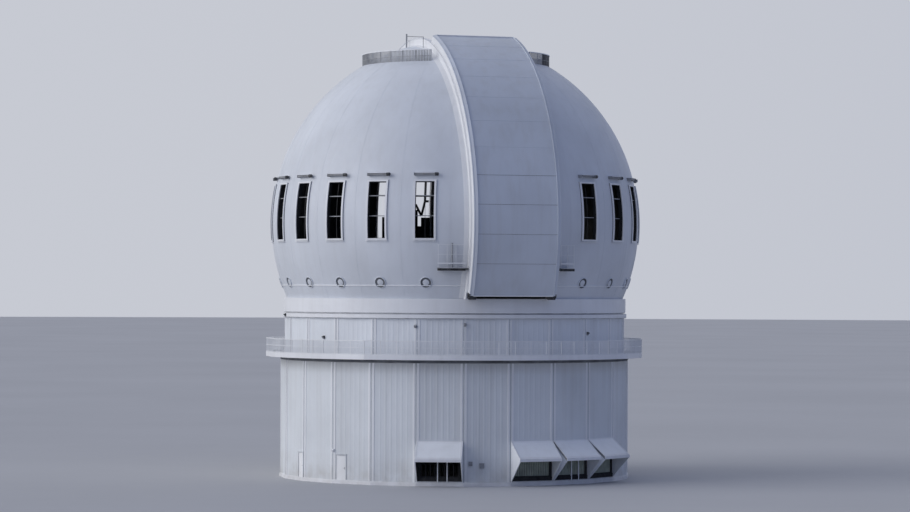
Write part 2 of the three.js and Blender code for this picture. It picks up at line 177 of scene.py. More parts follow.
class Piece:
    """Gathers the closed forms of one piece, then makes its object."""

    def __init__(self, name, body, slot, *materials):
        self.name, self.body, self.slot, self.materials = name, body, slot, materials
        self.points, self.faces, self.kinds = [], [], []

    def face(self, corners, kind):
        self.faces.append(corners)
        self.kinds.append(kind)

    def sweep(self, outline, stations, place, kind=0, closed=False):
        base, n = len(self.points), len(outline)
        for station in stations:
            self.points.extend(place(p, station) for p in outline)
        rows = len(stations)
        for s in range(rows if closed else rows - 1):
            near, far = base + s * n, base + (s + 1) % rows * n
            for i in range(n):
                j = (i + 1) % n
                self.face((near + i, far + i, far + j, near + j), kind)
        if not closed:
            self.face(tuple(range(base, base + n)), kind)
            last = base + (rows - 1) * n
            self.face(tuple(range(last + n - 1, last - 1, -1)), kind)

    def block(self, angle, t, out, up, kind=0):
        self.sweep(rect(*out, *up), t, on_side(angle), kind)

    def lathe(self, profile, place, steps=24, kind=0):
        """A profile of (radius, along) points turned about the line that place follows."""
        base, n = len(self.points), len(profile)
        for s in range(steps):
            a = 360 * s / steps
            self.points.extend(place(r * cos(a), r * sin(a), along) for r, along in profile)
        for s in range(steps):
            near, far = base + s * n, base + (s + 1) % steps * n
            for i in range(n - 1):
                self.face((near + i, near + i + 1, far + i + 1, far + i), kind)

    def tube(self, ends, r, kind=0):
        a, b = Vector(ends[0]), Vector(ends[1])
        turn = (b - a).to_track_quat("Z", "Y")

        def place(x, y, along):
            return tuple(a + turn @ Vector((x, y, along)))
        self.lathe(rect(0, r, 0, (b - a).length), place, TUBE_SIDES, kind)

    def skins(self, outer, inner, present):
        """Two grids of points with the same rows and columns, joined round every open edge."""
        rows, cols = len(outer), len(outer[0])
        base = len(self.points)
        for grid in (outer, inner):
            self.points.extend(p for row in grid for p in row)
        below = rows * cols

        def at(i, j):
            return base + i * cols + j

        def there(i, j):
            return 0 <= i < rows - 1 and 0 <= j < cols - 1 and present(i, j)

        for i in range(rows - 1):
            for j in range(cols - 1):
                if not there(i, j):
                    continue
                ring = [at(i, j), at(i, j + 1), at(i + 1, j + 1), at(i + 1, j)]
                self.face(tuple(ring), 0)
                self.face(tuple(below + k for k in reversed(ring)), 0)
                beside = [(i - 1, j), (i, j + 1), (i + 1, j), (i, j - 1)]
                for side, (p, q) in zip(beside, zip(ring, ring[1:] + ring[:1])):
                    if not there(*side):
                        self.face((q, p, below + p, below + q), 0)

    def make(self, replaces=(), bevel=0.0, sharp=30):
        mesh = bpy.data.meshes.new(self.name)
        mesh.from_pydata(self.points, [], self.faces)
        mesh.polygons.foreach_set("material_index", self.kinds)
        form = bmesh.new()
        form.from_mesh(mesh)
        bmesh.ops.remove_doubles(form, verts=form.verts, dist=0.0001)
        bmesh.ops.recalc_face_normals(form, faces=form.faces)
        form.to_mesh(mesh)
        form.free()
        mesh.polygons.foreach_set("use_smooth", [True] * len(mesh.polygons))
        mesh.set_sharp_from_angle(angle=math.radians(sharp))
        for material in self.materials:
            mesh.materials.append(material)
        piece = add_object(self.name, mesh)
        if bevel:
            edge = piece.modifiers.new("edge", "BEVEL")
            edge.width, edge.segments, edge.limit_method = bevel, 2, "ANGLE"
        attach(piece, self.body)
        if replaces:
            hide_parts(*replaces)


# Materials

COLOUR_A, COLOUR_B, COLOUR_OUT = 6, 7, 2  # where the mix node keeps its colours


class Nodes:
    """Short calls for building the node tree of a material or of the surround."""

    def __init__(self, owner, space="Object"):
        owner.use_nodes = True
        self.owner, self.tree = owner, owner.node_tree
        self.coords = self.add("ShaderNodeTexCoord").outputs[space]

    def add(self, kind, **settings):
        node = self.tree.nodes.new(kind)
        for key, value in settings.items():
            setattr(node, key, value)
        return node

    def link(self, a, b):
        self.tree.links.new(a, b)

    def feed(self, value, socket):
        """Sets a socket to a number or a colour, or links another socket to it."""
        if isinstance(value, tuple):
            socket.default_value = (*value, 1)
        elif isinstance(value, (int, float)):
            socket.default_value = value
        else:
            self.link(value, socket)

    def noise(self, scale, detail, stretch=(1, 1, 1)):
        mapping = self.add("ShaderNodeMapping")
        mapping.inputs["Scale"].default_value = stretch
        self.link(self.coords, mapping.inputs["Vector"])
        noise = self.add("ShaderNodeTexNoise")
        noise.inputs["Scale"].default_value = scale
        noise.inputs["Detail"].default_value = detail
        self.link(mapping.outputs["Vector"], noise.inputs["Vector"])
        return noise.outputs["Fac"]

    def fade(self, value, a, b, to=(0.0, 1.0), ease="LINEAR"):
        node = self.add("ShaderNodeMapRange", clamp=True, interpolation_type=ease)
        for socket, number in zip(("From Min", "From Max", "To Min", "To Max"), (a, b, *to)):
            node.inputs[socket].default_value = number
        self.link(value, node.inputs["Value"])
        return node.outputs["Result"]

    def times(self, a, b):
        node = self.add("ShaderNodeMath", operation="MULTIPLY")
        self.feed(a, node.inputs[0])
        self.feed(b, node.inputs[1])
        return node.outputs["Value"]

    def mix(self, share, a, b):
        node = self.add("ShaderNodeMix", data_type="RGBA")
        for value, socket in zip((share, a, b), ("Factor", COLOUR_A, COLOUR_B)):
            self.feed(value, node.inputs[socket])
        return node.outputs[COLOUR_OUT]

    def height(self):
        split = self.add("ShaderNodeSeparateXYZ")
        self.link(self.coords, split.inputs["Vector"])
        return split.outputs["Z"]

    def distance(self, centre, squash):
        """Distance from a point, or from the upright axis where squash is 0."""
        mapping = self.add("ShaderNodeMapping")
        mapping.inputs["Location"].default_value = (-centre[0], -centre[1], -centre[2] * squash)
        mapping.inputs["Scale"].default_value = (1, 1, squash)
        self.link(self.coords, mapping.inputs["Vector"])
        length = self.add("ShaderNodeVectorMath", operation="LENGTH")
        self.link(mapping.outputs["Vector"], length.inputs[0])
        return length.outputs["Value"]

    def finish(self, colour, rough, bumps, metal=0.0):
        sockets = self.tree.nodes["Principled BSDF"].inputs
        self.link(colour, sockets["Base Color"])
        self.link(rough, sockets["Roughness"])
        sockets["Metallic"].default_value = metal
        above = None
        for height, depth in bumps:
            bump = self.add("ShaderNodeBump")
            bump.inputs["Distance"].default_value = depth
            bump.inputs["Strength"].default_value = 1.0
            self.link(height, bump.inputs["Height"])
            if above:
                self.link(above, bump.inputs["Normal"])
            above = bump.outputs["Normal"]
        self.link(above, sockets["Normal"])
        return self.owner


DUST = (0.36, 0.33, 0.29)
RUST = (0.22, 0.10, 0.045)
# Near-black painted shade for the unlit insides of the building, the dome and the hoods.
INSIDE_SHADE = (0.012, 0.013, 0.016)
OFF_WHITE = (0.82, 0.83, 0.85)


def scaled(colour, by):
    return tuple(min(1, c * by) for c in colour)


def white_paint(name, colour, rough=0.5, streak=0.22, grime=0.0, dust_and_shade=None, inside=None):
    """Weathered paint: patches, run-down streaks, dust by the ground and a little rust.

    The band of heights given is tinted a darker beige: some dust from above, and painted shade under the
    walkway's overhang. inside is (centre, squash, radius): what lies nearer than that is painted
    near-black, as painted shade of the unlit inside.
    """
    n = Nodes(bpy.data.materials.new(name))
    patches = n.fade(n.noise(0.16, 5), 0.35, 0.65)
    streaks = n.fade(n.noise(1.6, 6, (1, 1, 0.06)), 0.45, 0.72)
    specks = n.fade(n.noise(14, 3), 0.71, 0.76)
    tone = n.mix(patches, scaled(colour, 0.93), scaled(colour, 1.04))
    tone = n.mix(n.times(streaks, streak), tone, DUST)
    spots = n.times(specks, n.fade(n.noise(0.5, 2), 0.5, 0.7))
    tone = n.mix(n.times(spots, 0.55), tone, RUST)
    if grime:
        foot = n.times(n.fade(n.height(), 2.6, 0.1), n.fade(n.noise(0.9, 6), 0.3, 0.7))
        tone = n.mix(n.times(foot, grime), tone, DUST)
    # Painted shade under the walkway's overhang, with some dust: the band of heights darkens towards beige.
    if dust_and_shade:
        band = n.fade(n.height(), dust_and_shade[0], dust_and_shade[1])
        tone = n.mix(n.times(band, 0.45), tone, (0.42, 0.40, 0.36))
    # Painted shade: what lies within the radius is painted near-black.
    if inside:
        centre, squash, radius = inside
        inside_shade_share = n.fade(n.distance(centre, squash), radius, radius - 0.02)
        tone = n.mix(inside_shade_share, tone, INSIDE_SHADE)
    roughness = n.fade(n.noise(2.2, 4), 0.3, 0.7, (rough - 0.08, rough + 0.12))
    return n.finish(tone, roughness, [(n.noise(0.8, 3), 0.006), (n.noise(60, 3), 0.0006)])


def worn_metal(name, colour, rough=0.6, metal=0.0, dust=0.3, scale=1.0):
    """Dull metal or dark paint with dust, scratches and a fine grain."""
    n = Nodes(bpy.data.materials.new(name))
    patches = n.fade(n.noise(1.1 * scale, 5), 0.35, 0.65)
    tone = n.mix(patches, scaled(colour, 0.75), scaled(colour, 1.2))
    dusty = n.fade(n.noise(3.5 * scale, 6, (1, 1, 0.2)), 0.48, 0.75)
    tone = n.mix(n.times(dusty, dust), tone, DUST)
    roughness = n.fade(n.noise(5 * scale, 4), 0.3, 0.7, (rough - 0.1, rough + 0.15))
    bumps = [(n.noise(9 * scale, 4), 0.002), (n.noise(90 * scale, 2), 0.0004)]
    return n.finish(tone, roughness, bumps, metal)


def floated_concrete(name):
    n = Nodes(bpy.data.materials.new(name))
    patches = n.fade(n.noise(0.35, 6), 0.3, 0.7)
    tone = n.mix(patches, (0.16, 0.155, 0.145), (0.24, 0.235, 0.22))
    pores = n.fade(n.noise(26, 3), 0.66, 0.72)
    tone = n.mix(n.times(pores, 0.5), tone, (0.08, 0.08, 0.075))
    roughness = n.fade(n.noise(3, 4), 0.3, 0.7, (0.75, 0.95))
    return n.finish(tone, roughness, [(n.noise(1.5, 5), 0.004), (n.noise(45, 4), 0.001)])


# Radii within which the walls and the shell are painted near-black as shade.
WALLS_INSIDE_SHADE = ((0, 0, 0), 0.0, flat_r(WALL_R) - 0.12)
UPPER_INSIDE_SHADE = ((0, 0, 0), 0.0, flat_r(UPPER_R) - 0.12)
SHELL_INSIDE_SHADE = ((0, 0, BALL_Z), 1.0, BALL_R - 0.16)
# The band from 9.2 to 10.3 m is painted shade under the walkway, with some dust.
cladding = white_paint("cladding_paint", (0.70, 0.73, 0.76), 0.55, 0.14, 0.5, (9.2, 10.3), WALLS_INSIDE_SHADE)
upper_cladding = white_paint("upper_cladding_paint", (0.76, 0.79, 0.83), 0.55, 0.12, inside=UPPER_INSIDE_SHADE)
trim = white_paint("trim_paint", OFF_WHITE, 0.42, 0.1, 0.35)
dome_paint = white_paint("dome_shell_paint", (0.68, 0.71, 0.76), 0.45, 0.08, inside=SHELL_INSIDE_SHADE)
dome_trim = white_paint("dome_trim_paint", OFF_WHITE, 0.4, 0.08)
arch_paint = white_paint("arch_paint", OFF_WHITE, 0.4, 0.08)
shutter_paint = white_paint("shutter_leaf_paint", (0.60, 0.64, 0.71), 0.48, 0.14)
shutter_trim = white_paint("shutter_edge_paint", OFF_WHITE, 0.42, 0.08)
door_paint = white_paint("door_leaf_paint", (0.88, 0.89, 0.90), 0.38, 0.06, 0.25)
hood_paint = white_paint("hood_paint", (0.90, 0.92, 0.94), 0.42, 0.08, 0.2)
dark_metal = worn_metal("dark_metal", (0.035, 0.037, 0.043), 0.55)
# Grey of joints, also used as painted shade: in corner recesses, under the deck, between the hoods, under
# the shutter's laps.
joint_and_shade_grey = worn_metal("joint_filler", (0.26, 0.27, 0.29), 0.8, dust=0.15)
seam_and_shade_grey = worn_metal("seam_filler", (0.45, 0.46, 0.48), 0.8, dust=0.15)
# Near-black finish: painted shade inside the hood mouths and the vents' reveals.
shade_lining = worn_metal("inside_lining", INSIDE_SHADE, 0.8, dust=0.05)
louvre_paint = worn_metal("louvre_paint", (0.42, 0.47, 0.40), 0.6, dust=0.25)
steel_grey = worn_metal("grey_steel", (0.30, 0.31, 0.33), 0.5, 0.2)
pale_steel = worn_metal("pale_steel", (0.50, 0.51, 0.53), 0.5, 0.1, 0.2)
# Dark grey of the ports' sunk annulus: painted shade in the recess.
port_grey = worn_metal("port_grey", (0.13, 0.14, 0.155), 0.6, dust=0.2)
grating = worn_metal("grating_steel", (0.12, 0.125, 0.13), 0.6, 0.3, 0.4)
deck_coat = worn_metal("deck_coating", (0.50, 0.51, 0.52), 0.75, dust=0.3)
concrete = floated_concrete("floated_concrete")
lamp_glass = worn_metal("lamp_glass", (0.35, 0.36, 0.38), 0.2, dust=0.15, scale=4)

CAD_FINISH = {
    "ground_floor": concrete, "base_curb": trim, "wall_": cladding, "intake_hood": hood_paint,
    "upper_wall": upper_cladding, "door_": door_paint,
}
for node_name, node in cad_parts.items():
    for start, material in CAD_FINISH.items():
        if node_name.startswith(start):
            node.data.materials.clear()
            node.data.materials.append(material)


# Ribbed cladding on the 24 sides, with two trims and a sunk joint at every corner, its grey partly painted
# shade in the recess

CORNERS = spread(-180, 180, SIDE_STEP)[:-1]
SIDES = [corner + SIDE_STEP / 2 for corner in CORNERS]
RIB_PITCH, RIB_FOOT, RIB_HEAD, RIB_OUT = 0.45, 0.11, 0.03, 0.012
CORNER_CLEAR, HOOD_CLEAR, DOOR_CLEAR = 0.30, 0.03, 0.14
OVER_HOOD, OVER_DOOR, OVER_CURB, OVER_DECK, UNDER_TOP = 0.08, 0.16, 0.04, 0.06, 0.03
SOFFIT_LOW = 10.16
QUARTERS = {"front": 0, "right": 90, "rear": 180, "left": -90}
QUARTER_HALF = 45


def quarter_of(angle):
    for name, middle in QUARTERS.items():
        if abs((angle - middle + 180) % 360 - 180) < QUARTER_HALF:
            return name


def rib_places(corner_r):
    half = corner_r * sin(SIDE_STEP / 2) - CORNER_CLEAR
    return spread(-half, half, RIB_PITCH)[1:-1]


def rib(piece, angle, t, out, low, high):
    head = out + RIB_OUT
    outline = [(t - RIB_FOOT, out), (t - RIB_HEAD, head), (t + RIB_HEAD, head), (t + RIB_FOOT, out)]
    piece.sweep(outline, [low, high], on_plan(angle))


def lower_rib_foot(angle, t):
    """A rib starts over a hood or a door where one stands in its way."""
    if angle in HOOD_SIDES and abs(t) < HOOD_HALF + HOOD_CLEAR:
        return HOOD_TOP + OVER_HOOD
    for side, start in DOORS.values():
        if angle == side and start - DOOR_CLEAR < t < start + DOOR_W + DOOR_CLEAR:
            return DOOR_TOP + OVER_DOOR
    return CURB_TOP + OVER_CURB


ribs = {q: Piece(f"wall_ribs_{q}", "building", "cladding", cladding) for q in QUARTERS}
upper_ribs = {q: Piece(f"upper_ribs_{q}", "building", "cladding", upper_cladding) for q in QUARTERS}
for angle in SIDES:
    q = quarter_of(angle)
    for t in rib_places(WALL_R):
        rib(ribs[q], angle, t, flat_r(WALL_R), lower_rib_foot(angle, t), SOFFIT_LOW)
    for t in rib_places(UPPER_R):
        rib(upper_ribs[q], angle, t, flat_r(UPPER_R), DECK_TOP + OVER_DECK, UPPER_TOP - UNDER_TOP)
for piece in (*ribs.values(), *upper_ribs.values()):
    piece.make()


TRIM_OUT, JOINT_OUT, JOINT_DEEP = 0.03, 0.004, 0.05


def corner_trim(piece, angle, corner_r, low, high, gap, width):
    """Two white strips beside the corner's sunk joint. Over a hood they start on its roof."""
    slope = math.tan(math.radians(SIDE_STEP / 2))

    def on_face(t):
        return corner_r - abs(t) * slope

    for way in (-1, 1):
        over_hood = angle + way * SIDE_STEP / 2 in HOOD_SIDES
        foot = max(low, HOOD_TOP + HOOD_CLEAR) if over_hood else low
        a, b = way * gap, way * (gap + width)
        face_a, face_b = on_face(a), on_face(b)
        outline = [(a, face_a - SINK), (a, face_a + TRIM_OUT), (b, face_b + TRIM_OUT), (b, face_b - SINK)]
        piece.sweep(outline, [foot, high], on_plan(angle))
    side_r = on_face(gap) - SINK
    joint = [(-gap, side_r), (0, corner_r + JOINT_OUT), (gap, side_r), (0, corner_r - JOINT_DEEP)]
    piece.sweep(joint, [low, high], on_plan(angle), 1)


corners = {q: Piece(f"corner_trims_{q}", "building", "trim", trim, joint_and_shade_grey) for q in QUARTERS}
for angle in CORNERS:
    piece = corners[quarter_of(angle + SIDE_STEP / 2)]
    corner_trim(piece, angle, WALL_R, CURB_TOP + 0.02, SOFFIT_LOW, gap=0.11, width=0.16)
    corner_trim(piece, angle, UPPER_R, DECK_TOP + 0.05, UPPER_TOP - 0.02, gap=0.10, width=0.14)
for piece in corners.values():
    piece.make()


# Grey louvre under the walkway, its grey partly painted shade under the deck, and the flashings

BLADE_COUNT, BLADE_PITCH, BLADE_T = 4, 0.06, 0.008
soffit = Piece("soffit_louvre", "building", "cladding", joint_and_shade_grey)
inner, outer = WALL_R + 0.015, WALL_R + 0.055
soffit.sweep(rect(WALL_R - SINK, inner, SOFFIT_LOW, WALL_TOP - 0.01), CORNERS, on_sides, closed=True)
for i in range(BLADE_COUNT):
    low = SOFFIT_LOW + BLADE_PITCH * (i + 0.5)
    high = low + BLADE_PITCH / 2
    blade = [(inner, high), (outer, low), (outer, low + BLADE_T), (inner, high + BLADE_T)]
    soffit.sweep(blade, CORNERS, on_sides, closed=True)
soffit.make()

flashing = Piece("wall_flashings", "building", "trim", trim)
for corner_r, out, foot, high in ((WALL_R, 0.06, CURB_TOP, 0.10), (UPPER_R, 0.07, DECK_TOP, 0.12)):
    section = rect(corner_r - SINK, corner_r + out, foot, foot + high)
    flashing.sweep(section, CORNERS, on_sides, closed=True)
flashing.make(bevel=0.01)


# Walkway: a coated deck with a white edge, and an open railing of thin bars

KICK_TOP, KICK_T = DECK_TOP + 0.15, 0.05
HANDRAIL, THIN_RAIL = (DECK_R - 0.07, DECK_R - 0.01), (DECK_R - 0.055, DECK_R - 0.025)
HANDRAIL_H, THIN_RAIL_H, THIN_RAIL_HEIGHTS = 0.06, 0.035, (KICK_TOP + 0.02, 11.42)
POST_HALF, POST_T, POST_PITCH = 0.03, 0.05, 1.4
BAR_HALF, BAR_HALF_T, BAR_PITCH = 0.010, 0.007, 0.10
for q, middle in QUARTERS.items():
    deck = Piece(f"walkway_deck_{q}", "building", "trim", trim, deck_coat)
    ends = spread(*about(middle, QUARTER_HALF), SIDE_STEP)
    low = WALL_TOP + GAP
    deck.sweep(rect(DECK_IN_R, DECK_R - 0.04, low + 0.02, DECK_TOP), ends, on_sides, 1)
    deck.sweep(rect(DECK_R - KICK_T, DECK_R, low, KICK_TOP), ends, on_sides)
    deck.make(replaces=[f"walkway_{q}"], bevel=0.006)
    rail = Piece(f"walkway_railing_{q}", "building", "trim", trim)
    rail.sweep(rect(*HANDRAIL, RAIL_HEAD - HANDRAIL_H, RAIL_HEAD), ends, on_sides)
    for z in THIN_RAIL_HEIGHTS:
        rail.sweep(rect(*THIN_RAIL, z, z + THIN_RAIL_H), ends, on_sides)
    out = flat_r(DECK_R) - 0.04
    half, rail_low = DECK_R * sin(SIDE_STEP / 2), RAIL_HEAD - 0.05
    for corner in ends[:-1]:
        side = corner + SIDE_STEP / 2
        for t in spread(-half, half, POST_PITCH)[:-1]:
            rail.block(side, about(t, POST_HALF), (out - POST_T, out), (KICK_TOP - 0.1, rail_low))
        for t in spread(-half, half, BAR_PITCH)[:-1]:
            rail.block(side, about(t, BAR_HALF), about(out, BAR_HALF_T), (KICK_TOP, rail_low))
    rail.make()


# Personnel doors: a frame with a drip edge, and each leaf's panels, lock plate and handle

WALL_FACE = flat_r(WALL_R)
FRAME_W, FRAME_OUT, FRAME_TOP = 0.09, 0.045, DOOR_TOP + 0.10
HINGE_ROOM, LATCH_ROOM = 0.02, 0.006
DOOR_PANELS, PANEL_EDGE, PANEL_SEAM = ((0.62, 1.12), (1.46, 2.18)), 0.13, 0.015
PLATE, GRIP_Z, GRIP_R, GRIP_REACH = (1.20, 1.38), 1.30, 0.011, 0.055
for key, (side, start) in DOORS.items():
    jambs = Piece(f"door_frame_{key}", "building", "cladding", cladding)
    out = (WALL_FACE - SINK, WALL_FACE + FRAME_OUT)
    end = start + DOOR_W
    left, right = start - HINGE_ROOM, end + LATCH_ROOM
    for t in ((left - FRAME_W, left), (right, end + 0.10)):
        jambs.block(side, t, out, (CURB_TOP, FRAME_TOP))
    jambs.block(side, (left, right), out, (DOOR_TOP + LATCH_ROOM, FRAME_TOP))
    drip = (WALL_FACE - SINK, WALL_FACE + 0.12)
    jambs.block(side, (start - 0.14, end + 0.13), drip, (FRAME_TOP, FRAME_TOP + 0.03))
    jambs.make(bevel=0.006)
    leaf = Piece(f"door_fittings_{key}", f"door_{key}", "door_paint", door_paint, steel_grey)
    seam, face = (WALL_FACE - 0.002, WALL_FACE + 0.006), (WALL_FACE - 0.001, WALL_FACE + 0.010)
    edges = (start + PANEL_EDGE, end - PANEL_EDGE)
    inside = (edges[0] + PANEL_SEAM, edges[1] - PANEL_SEAM)
    for low, high in DOOR_PANELS:
        for t in ((edges[0], inside[0]), (inside[1], edges[1])):
            leaf.block(side, t, seam, (low, high))
        for z in (low, high - PANEL_SEAM):
            leaf.block(side, inside, seam, (z, z + PANEL_SEAM))
    leaf.block(side, (end - 0.11, end - 0.06), face, PLATE, 1)
    grip = on_side(side)
    stem = [grip((WALL_FACE + reach, GRIP_Z), end - 0.085) for reach in (0, 0.06)]
    bar = [grip((WALL_FACE + GRIP_REACH, GRIP_Z), end - inset) for inset in (0.09, 0.22)]
    for ends in (stem, bar):
        leaf.tube(ends, GRIP_R, kind=1)
    leaf.make()


# Lamps on the walls: angle, height, the face's distance from the axis and the finish of the case

UPPER_FACE = flat_r(UPPER_R)
LAMP_HALF, CASE_OUT, HOOD_OUT = 0.09, 0.07, 0.22
LAMPS = ((-66.3, 12.2, UPPER_FACE, 0), (31.1, 12.6, UPPER_FACE, 0), (-14.6, 13.35, UPPER_FACE, 3),
         (-30.5, 13.2, UPPER_FACE, 3), (-94.4, 14.03, TRACK_R, 0), (-59.7, 2.75, WALL_FACE, 2))
lamps = Piece("wall_lamps", "building", "grating", dark_metal, lamp_glass, trim, steel_grey)


def place_along(angle, side, face):
    """Where the line of an angle meets the face of a side, measured along that side."""
    return face * math.tan(math.radians(angle - side))


for angle, z, face, case in LAMPS:
    side = angle if face == TRACK_R else side_at(angle)
    t = place_along(angle, side, face)
    near, far = face + CASE_OUT, face + HOOD_OUT
    lamps.block(side, about(t, LAMP_HALF), (face - 0.01, near), about(z, 0.14), case)
    hood = [(near, z - 0.04), (far, z + 0.02), (far, z + 0.06), (near, z + 0.12)]
    lamps.sweep(hood, about(t, LAMP_HALF + 0.02), on_side(side), case)
    glass = [(near, z - 0.11), (near + 0.05, z - 0.11), (far - 0.02, z + 0.01), (near, z - 0.04)]
    lamps.sweep(glass, about(t, LAMP_HALF), on_side(side), case or 1)  # glass shows in dark cases only

# Two boxes beside the first hood, each with a lid: angle, height and half width
for angle, z, half in ((-12.8, 1.85, 0.15), (-9.2, 1.68, 0.19)):
    side = side_at(angle)
    t = place_along(angle, side, WALL_FACE)
    back, top = WALL_FACE - 0.01, z + half + 0.01
    lamps.block(side, about(t, half), (back, WALL_FACE + 0.12), (z - half, top), 3)
    lamps.block(side, about(t, half + 0.02), (back, WALL_FACE + 0.15), (top, top + 0.03), 3)
lamps.make(bevel=0.005)


# Intake hoods: edge strips on the roof, drip lip, a near-black inner skin that paints the shade in the
# mouth, and blades in the mouth

def hood_face(piece, side, t, s0, s1, lift0, lift1, kind=0):
    """A strip on the hood's sloped roof. s runs from wall (0) to lip (1), lift is over the roof."""
    fall = HOOD_TOP - HOOD_LIP

    def at(s, lift):
        return (WALL_FACE + HOOD_REACH * s, HOOD_TOP - fall * s + lift)
    piece.sweep([at(s0, lift0), at(s1, lift0), at(s1, lift1), at(s0, lift1)], t, on_side(side), kind)


STRIP_W, STRIP_EDGE, LIP_H = 0.15, HOOD_HALF + 0.012, 0.22
LINER_CLEAR, LINER_T, LINER_LOW, REVEAL_T = 0.075, 0.008, 0.5, 0.01
BLADE_DEPTH = (WALL_FACE - 0.15, WALL_FACE - 0.04)
BOARD_DEPTH, BOARD_Z = (WALL_FACE + 0.06, WALL_FACE + 0.082), (0.41, 0.72)
for i, side in enumerate(HOOD_SIDES, 1):
    roof = Piece(f"hood_trims_{i}", "building", "trim", trim, joint_and_shade_grey)
    full = about(0, HOOD_HALF)
    for t in each_way(STRIP_EDGE - STRIP_W, STRIP_EDGE):
        hood_face(roof, side, t, 0.005, 0.985, -0.03, 0.018)
    hood_face(roof, side, full, 0.90, 1.0, -0.01, 0.014)
    hood_face(roof, side, full, 0.0, 0.03, -0.01, 0.05)
    if side - SIDE_STEP in HOOD_SIDES:  # a grey strip towards the next hood: painted shadow in the gap between the hoods
        hood_face(roof, side, (-HOOD_HALF - 0.02, -HOOD_HALF - 0.002), 0.01, 0.97, -0.24, -0.03, 1)
    lip, lip_low = WALL_FACE + HOOD_REACH, HOOD_LIP - LIP_H
    edge = about(0, HOOD_HALF + 0.015)
    roof.block(side, edge, (lip - 0.005, lip + 0.02), (lip_low, HOOD_LIP + 0.02))
    roof.make(bevel=0.005)
    shade_liner = Piece(f"hood_shade_lining_{i}", "building", "trim", shade_lining, louvre_paint)
    half, near, far = HOOD_HALF - LINER_CLEAR, WALL_FACE + 0.02, lip - 0.12
    hood_face(shade_liner, side, about(0, half), 0.02, 0.95, -0.10, -0.085)
    if i == 1:  # the first hood is painted near-black inside as shade, with few blades behind its mouth
        cheek = [(near, LINER_LOW), (far, lip_low + 0.06), (far, HOOD_LIP - 0.12), (near, HOOD_TOP - 0.16)]
        for t in each_way(half - LINER_T, half):
            shade_liner.sweep(cheek, t, on_side(side))
        blade_half, pitch, finish = 0.03, 0.40, 0
    else:
        blade_half, pitch, finish = 0.045, 0.16, 1
    face = (WALL_FACE - 0.01, near)
    for t in each_way(INTAKE_HALF, half):
        shade_liner.block(side, t, face, (LINER_LOW, HOOD_TOP - 0.25))
    shade_liner.block(side, about(0, INTAKE_HALF), face, (LINER_LOW, INTAKE_LOW))
    reveal, reveal_in = (WALL_FACE - 0.16, near), INTAKE_HALF - REVEAL_T
    for t in each_way(reveal_in, INTAKE_HALF):
        shade_liner.block(side, t, reveal, (INTAKE_LOW, INTAKE_HIGH))
    shade_liner.block(side, about(0, reveal_in), reveal, (INTAKE_LOW, INTAKE_LOW + REVEAL_T))
    shade_liner.block(side, about(0, half), BOARD_DEPTH, BOARD_Z)
    for t in spread(-INTAKE_HALF + 0.06, INTAKE_HALF - 0.06, pitch):
        shade_liner.block(side, about(t, blade_half), BLADE_DEPTH, (INTAKE_LOW, INTAKE_HIGH), finish)
    shade_liner.make()


# Round track and the foot ring of the dome, smooth

RING_STEP, END_GAP = 2, 0.002
ring_stations = spread(0, 360, RING_STEP)[:-1]
track = Piece("track_curb", "building", "trim", trim, seam_and_shade_grey)
top, low = TRACK_TOP, UPPER_TOP + GAP
inset, lip = TRACK_R - 0.05, low + 0.05
profile = [(TRACK_IN_R, low), (inset, low), (inset, lip), (TRACK_R, lip), (TRACK_R, top), (RAIL_OUT_R, top),
           (RAIL_OUT_R, RAIL_TOP), (RAIL_IN_R, RAIL_TOP), (RAIL_IN_R, top), (TRACK_IN_R, top)]
track.sweep(profile, ring_stations, on_round, closed=True)
# Grey strip in the sunk joint: a joint, darkened as painted shade in the recess.
track.sweep(rect(inset - SINK, inset + 0.005, low, lip), ring_stations, on_round, 1, closed=True)
track.make(replaces=["track_ring"])

for sign, side in HALVES:
    ring = Piece(f"foot_ring_{side}", "dome", "dome_paint", dome_trim, seam_and_shade_grey)
    a, b = sorted((0, sign * 180))
    stations = spread(a + END_GAP, b - END_GAP, RING_STEP)
    inset, lip = RING_R - 0.06, RING_Z + 0.07
    profile = [(RING_IN_R, RING_Z), (inset, RING_Z), (inset, lip), (RING_R, lip), (RING_R, RING_TOP),
               (RING_IN_R, RING_TOP)]
    ring.sweep(profile, stations, on_round)
    # Grey strip in the sunk joint: a joint, darkened as painted shade in the recess.
    ring.sweep(rect(inset - SINK, inset + 0.005, RING_Z + 0.01, lip), stations, on_round, 1)
    ring.make(replaces=[f"dome_ring_{side}"])


# Shell of the dome in gores, open at the vents and behind the ports

HOLE_INSET = 0.25
VENT_HOLE = (VENT_RISES[0] + HOLE_INSET, VENT_RISES[1] - HOLE_INSET)
VENT_HOLE_HALF = VENT_HALF - VENT_BAR / 2
PORT_HOLE_HALF = 0.33


def ball_rise(z, r=BALL_R):
    return arcsin((z - BALL_Z) / r)


def ball_out(x, r=BALL_R):
    """How far out the ball lies at a distance x from its middle, measured across or up."""
    return math.sqrt(r * r - x * x)


PORT_HOLE = (ball_rise(PORT_Z - PORT_HOLE_HALF), ball_rise(PORT_Z + PORT_HOLE_HALF))
RISE_COUNTS = (2, 2, 7, 12, 36)  # rows under the ports, beside them, up to the vents, beside these, above
GORE_STEP = 1.5


def slit_angle(r, rise):
    return arcsin(min(1, SLIT_X / (r * cos(rise))))


def gore_rises(r, lo, hi):
    """Rises of a gore's rows. The last meets the slit at the gore's angle nearest 90."""
    nearest = min(max(90, lo), hi)
    foot = ball_rise(RING_TOP + GAP, r)
    last = arccos(SLIT_X / (r * sin(nearest)))
    return cut((foot, *PORT_HOLE, *VENT_HOLE, last), RISE_COUNTS)


